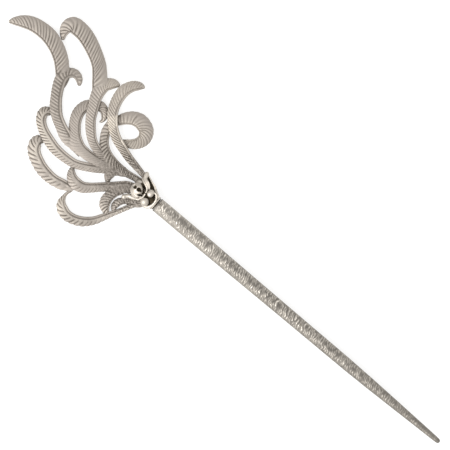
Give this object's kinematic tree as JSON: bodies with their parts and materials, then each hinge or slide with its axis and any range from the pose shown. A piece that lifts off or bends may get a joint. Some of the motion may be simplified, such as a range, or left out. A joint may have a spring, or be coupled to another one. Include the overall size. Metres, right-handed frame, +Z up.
{
  "type": "hair stick",
  "caption": "Metal hair stick with a pierced spray of curling feather plumes, a scroll knot over the joint and a long round tapered shaft.",
  "frame": {"origin": "middle of the shaft's shoulder, on the shaft's axis, where it leaves the knot", "axes": "+X along the shaft from the knot to the tip, +Z up out of the front of the spray when the stick lies on its back"},
  "size_m": [0.2006, 0.055, 0.0056],
  "materials": {
    "hammered_silver": "solid silver rod, hammered to a bark-like skin of short cross ridges, matte, with darker furrows",
    "cast_silver": "cast silver left matte and slightly warm, with dull grey in the furrows between the barbs and paler crests",
    "polished_silver": "cast silver polished on its high places and blackened in its hollows"
  },
  "bodies": {
    "root": {"stick": "hammered_silver", "plume_spray": "cast_silver", "scroll_knot": "polished_silver"}
  },
  "joints": []
}
